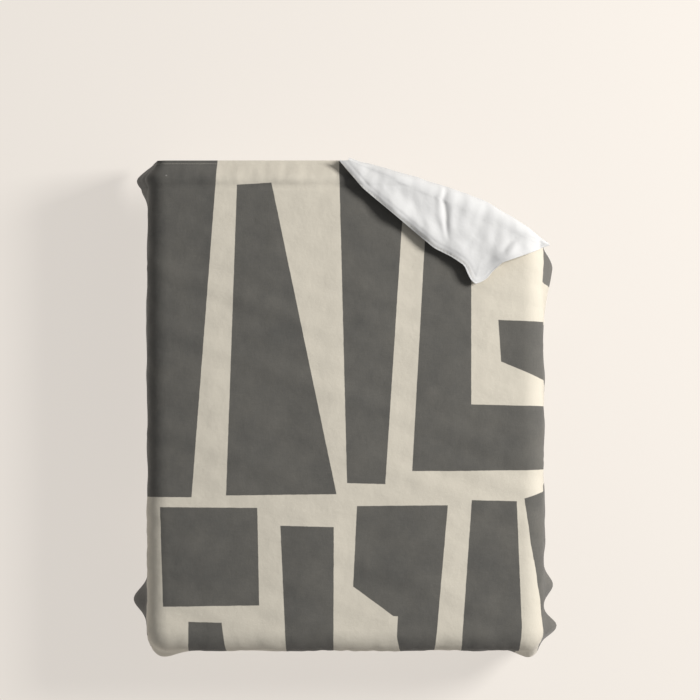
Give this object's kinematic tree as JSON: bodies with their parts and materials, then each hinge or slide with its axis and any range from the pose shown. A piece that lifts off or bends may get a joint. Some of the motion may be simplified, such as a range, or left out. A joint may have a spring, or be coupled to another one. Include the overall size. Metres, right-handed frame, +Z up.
{
  "type": "duvet",
  "caption": "Duvet draped over the top, sides and foot of a bed, in a zipped printed cover, one head corner turned back.",
  "frame": {"origin": "middle of the flat underside that rests on the mattress", "axes": "+X across the bed toward the turned-back corner's side, +Y toward the head of the bed, +Z up"},
  "size_m": [1.5947, 1.8525, 0.4759],
  "materials": {
    "cover_print": "woven cotton printed with dark grey blocks on cream, matt",
    "cover_white": "plain white woven cotton, matt",
    "insert_casing": "fine white cotton casing, matt",
    "insert_fill": "white polyester fibre fill",
    "woven_tape": "cotton tape",
    "zip_coil": "satin nylon coil",
    "zip_metal": "satin zinc alloy"
  },
  "bodies": {
    "lying_duvet": {"cover_face_panel": "cover_print", "cover_back_panel": "cover_white", "cover_seam_left": "cover_white", "cover_seam_right": "cover_white", "cover_seam_head": "cover_white", "cover_seam_foot_left": "cover_white", "cover_seam_foot_right": "cover_white", "insert_edge_binding": "cover_white", "insert_back_shell": "insert_casing", "insert_face_shell": "insert_casing", "fill_top": "insert_fill", "fill_left_drop": "insert_fill", "fill_right_drop": "insert_fill", "fill_foot_drop": "insert_fill", "fill_left_corner": "insert_fill", "fill_right_corner": "insert_fill", "zip_tape_back": "woven_tape", "zip_tape_face": "woven_tape", "tie_foot_left": "woven_tape", "tie_foot_right": "woven_tape", "tie_head_left": "woven_tape", "loop_foot_left": "woven_tape", "loop_foot_right": "woven_tape", "loop_head_left": "woven_tape", "care_label": "woven_tape", "zip_coil_back": "zip_coil", "zip_coil_face": "zip_coil", "zip_stop_left": "zip_metal", "zip_stop_right": "zip_metal"},
    "turned_corner": {"corner_face_panel": "cover_print", "corner_back_panel": "cover_white", "corner_back_shell": "insert_casing", "corner_face_shell": "insert_casing", "corner_fill": "insert_fill"},
    "zip_slider": {"zip_slider": "zip_metal"},
    "zip_pull": {"zip_pull": "zip_metal"}
  },
  "joints": [
    {"name": "corner_fold", "type": "hinge", "parent": "lying_duvet", "child": "turned_corner", "pos_m": [0.01, 0.876, 0.0393], "axis": [-0.9222, 0.3867, 0], "range_deg": [0, 180]},
    {"name": "zip_travel", "type": "slide", "parent": "lying_duvet", "child": "zip_slider", "axis": [-1, 0, 0], "range_m": [0, 1.019]},
    {"name": "pull_swing", "type": "hinge", "parent": "zip_slider", "child": "zip_pull", "pos_m": [0.5095, -0.92665, -0.22862], "axis": [0, 1, 0], "range_deg": [-80, 80]}
  ]
}
